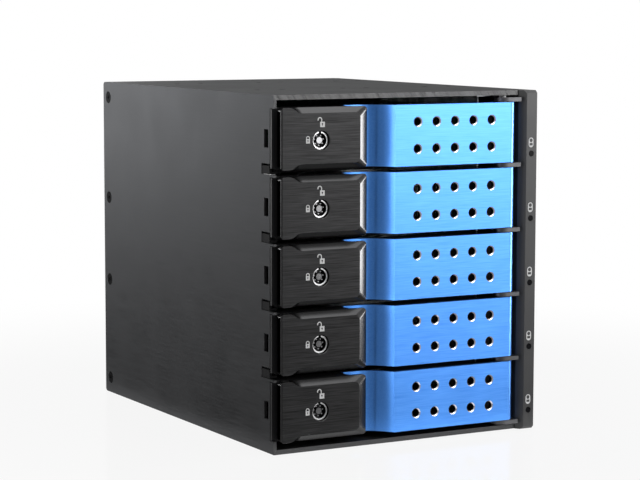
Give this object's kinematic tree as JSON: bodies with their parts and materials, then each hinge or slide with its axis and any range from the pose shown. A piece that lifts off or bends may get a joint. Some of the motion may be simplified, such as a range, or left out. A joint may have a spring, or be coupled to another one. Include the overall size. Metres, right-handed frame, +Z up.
{
  "type": "hot swap drive cage",
  "caption": "Aluminium cage of stacked drive bays behind hinged blue doors with locking levers, ejectors, backplane and rear fan, for mounting in wide case bays.",
  "frame": {"origin": "middle of the bottom plate's outer face, halfway between the side panels and between the shell's front and rear edges", "axes": "+X to the right seen from the front, -Y out of the front, +Z up"},
  "size_m": [0.125, 0.2003, 0.146],
  "materials": {
    "anodised_black": "brushed, black anodised",
    "rear_black": "black powder coat",
    "zinc_sheet": "zinc plated",
    "screw_black": "black oxide",
    "hinge_grey": "grey anodised",
    "pin_steel": "ground",
    "guide_plastic": "moulded",
    "strip_plastic": "glossy, moulded",
    "light_pipe": "clear, moulded",
    "lamp": "clear lens",
    "board_green": "lacquered glass-fibre board",
    "socket_plastic": "moulded",
    "power_plastic": "moulded",
    "standoff_brass": "turned",
    "fan_plastic": "moulded",
    "fan_screw": "zinc plated",
    "frame_plastic": "moulded",
    "face_blue": "brushed, blue anodised",
    "lever_black": "brushed, black anodised",
    "spring_steel": "rolled",
    "lock_metal": "polished"
  },
  "bodies": {
    "chassis": {"left_side_panel": "anodised_black", "right_side_panel": "anodised_black", "top_plate": "anodised_black", "bottom_plate": "anodised_black", "rear_panel": "rear_black", "bay_shelves": "rear_black", "inner_wall": "zinc_sheet", "panel_screws": "screw_black", "hinge_bracket": "hinge_grey", "hinge_rod": "pin_steel", "ejector_guides": "guide_plastic", "indicator_strip": "strip_plastic", "light_pipes": "light_pipe", "indicator_lamps": "lamp", "indicator_board": "board_green", "backplane_board": "board_green", "drive_sockets": "socket_plastic", "data_ports": "socket_plastic", "power_sockets": "power_plastic", "board_standoffs": "standoff_brass", "fan_front_flange": "fan_plastic", "fan_shroud": "fan_plastic", "fan_frame": "fan_plastic", "fan_screws": "fan_screw"},
    "door_1": {"door_frame_1": "frame_plastic", "face_plate_1": "face_blue", "latch_pin_1": "pin_steel", "latch_spring_1": "spring_steel"},
    "latch_1": {"latch_lever_1": "lever_black"},
    "lock_1": {"lock_barrel_1": "lock_metal"},
    "ejector_1": {"ejector_bar_1": "zinc_sheet"},
    "door_2": {"door_frame_2": "frame_plastic", "face_plate_2": "face_blue", "latch_pin_2": "pin_steel", "latch_spring_2": "spring_steel"},
    "latch_2": {"latch_lever_2": "lever_black"},
    "lock_2": {"lock_barrel_2": "lock_metal"},
    "ejector_2": {"ejector_bar_2": "zinc_sheet"},
    "door_3": {"door_frame_3": "frame_plastic", "face_plate_3": "face_blue", "latch_pin_3": "pin_steel", "latch_spring_3": "spring_steel"},
    "latch_3": {"latch_lever_3": "lever_black"},
    "lock_3": {"lock_barrel_3": "lock_metal"},
    "ejector_3": {"ejector_bar_3": "zinc_sheet"},
    "door_4": {"door_frame_4": "frame_plastic", "face_plate_4": "face_blue", "latch_pin_4": "pin_steel", "latch_spring_4": "spring_steel"},
    "latch_4": {"latch_lever_4": "lever_black"},
    "lock_4": {"lock_barrel_4": "lock_metal"},
    "ejector_4": {"ejector_bar_4": "zinc_sheet"},
    "door_5": {"door_frame_5": "frame_plastic", "face_plate_5": "face_blue", "latch_pin_5": "pin_steel", "latch_spring_5": "spring_steel"},
    "latch_5": {"latch_lever_5": "lever_black"},
    "lock_5": {"lock_barrel_5": "lock_metal"},
    "ejector_5": {"ejector_bar_5": "zinc_sheet"},
    "fan_rotor": {"fan_rotor": "fan_plastic"}
  },
  "joints": [
    {"name": "door_1", "type": "hinge", "parent": "chassis", "child": "door_1", "pos_m": [0.0485, -0.084, 0.1284], "axis": [0, 0, 1], "range_deg": [0, 105]},
    {"name": "ejector_1", "type": "slide", "parent": "chassis", "child": "ejector_1", "axis": [0, -1, 0], "range_m": [0, 0.0074]},
    {"name": "latch_1", "type": "hinge", "parent": "door_1", "child": "latch_1", "pos_m": [-0.0572, -0.0845, 0.1284], "axis": [0, 0, -1], "range_deg": [0, 25], "stiffness_Nm_per_rad": 0.05, "springref_deg": -11.46, "deforming": ["latch_spring_1"]},
    {"name": "lock_1", "type": "hinge", "parent": "latch_1", "child": "lock_1", "pos_m": [-0.0424, -0.0845, 0.1275], "axis": [0, 1, 0], "range_deg": [-90, 0]},
    {"name": "door_2", "type": "hinge", "parent": "chassis", "child": "door_2", "pos_m": [0.0485, -0.084, 0.1007], "axis": [0, 0, 1], "range_deg": [0, 105]},
    {"name": "ejector_2", "type": "slide", "parent": "chassis", "child": "ejector_2", "axis": [0, -1, 0], "range_m": [0, 0.0074]},
    {"name": "latch_2", "type": "hinge", "parent": "door_2", "child": "latch_2", "pos_m": [-0.0572, -0.0845, 0.1007], "axis": [0, 0, -1], "range_deg": [0, 25], "stiffness_Nm_per_rad": 0.05, "springref_deg": -11.46, "deforming": ["latch_spring_2"]},
    {"name": "lock_2", "type": "hinge", "parent": "latch_2", "child": "lock_2", "pos_m": [-0.0424, -0.0845, 0.0998], "axis": [0, 1, 0], "range_deg": [-90, 0]},
    {"name": "door_3", "type": "hinge", "parent": "chassis", "child": "door_3", "pos_m": [0.0485, -0.084, 0.073], "axis": [0, 0, 1], "range_deg": [0, 105]},
    {"name": "ejector_3", "type": "slide", "parent": "chassis", "child": "ejector_3", "axis": [0, -1, 0], "range_m": [0, 0.0074]},
    {"name": "latch_3", "type": "hinge", "parent": "door_3", "child": "latch_3", "pos_m": [-0.0572, -0.0845, 0.073], "axis": [0, 0, -1], "range_deg": [0, 25], "stiffness_Nm_per_rad": 0.05, "springref_deg": -11.46, "deforming": ["latch_spring_3"]},
    {"name": "lock_3", "type": "hinge", "parent": "latch_3", "child": "lock_3", "pos_m": [-0.0424, -0.0845, 0.0721], "axis": [0, 1, 0], "range_deg": [-90, 0]},
    {"name": "door_4", "type": "hinge", "parent": "chassis", "child": "door_4", "pos_m": [0.0485, -0.084, 0.0453], "axis": [0, 0, 1], "range_deg": [0, 105]},
    {"name": "ejector_4", "type": "slide", "parent": "chassis", "child": "ejector_4", "axis": [0, -1, 0], "range_m": [0, 0.0074]},
    {"name": "latch_4", "type": "hinge", "parent": "door_4", "child": "latch_4", "pos_m": [-0.0572, -0.0845, 0.0453], "axis": [0, 0, -1], "range_deg": [0, 25], "stiffness_Nm_per_rad": 0.05, "springref_deg": -11.46, "deforming": ["latch_spring_4"]},
    {"name": "lock_4", "type": "hinge", "parent": "latch_4", "child": "lock_4", "pos_m": [-0.0424, -0.0845, 0.0444], "axis": [0, 1, 0], "range_deg": [-90, 0]},
    {"name": "door_5", "type": "hinge", "parent": "chassis", "child": "door_5", "pos_m": [0.0485, -0.084, 0.0176], "axis": [0, 0, 1], "range_deg": [0, 105]},
    {"name": "ejector_5", "type": "slide", "parent": "chassis", "child": "ejector_5", "axis": [0, -1, 0], "range_m": [0, 0.0074]},
    {"name": "latch_5", "type": "hinge", "parent": "door_5", "child": "latch_5", "pos_m": [-0.0572, -0.0845, 0.0176], "axis": [0, 0, -1], "range_deg": [0, 25], "stiffness_Nm_per_rad": 0.05, "springref_deg": -11.46, "deforming": ["latch_spring_5"]},
    {"name": "lock_5", "type": "hinge", "parent": "latch_5", "child": "lock_5", "pos_m": [-0.0424, -0.0845, 0.0167], "axis": [0, 1, 0], "range_deg": [-90, 0]},
    {"name": "fan_rotor", "type": "hinge", "parent": "chassis", "child": "fan_rotor", "pos_m": [0.018, 0.0975, 0.073], "axis": [0, 1, 0], "continuous": true}
  ],
  "couplings": [
    {"joint": "ejector_1", "follows": "door_1", "m_per_rad": 0.003983},
    {"joint": "ejector_2", "follows": "door_2", "m_per_rad": 0.003983},
    {"joint": "ejector_3", "follows": "door_3", "m_per_rad": 0.003983},
    {"joint": "ejector_4", "follows": "door_4", "m_per_rad": 0.003983},
    {"joint": "ejector_5", "follows": "door_5", "m_per_rad": 0.003983}
  ]
}
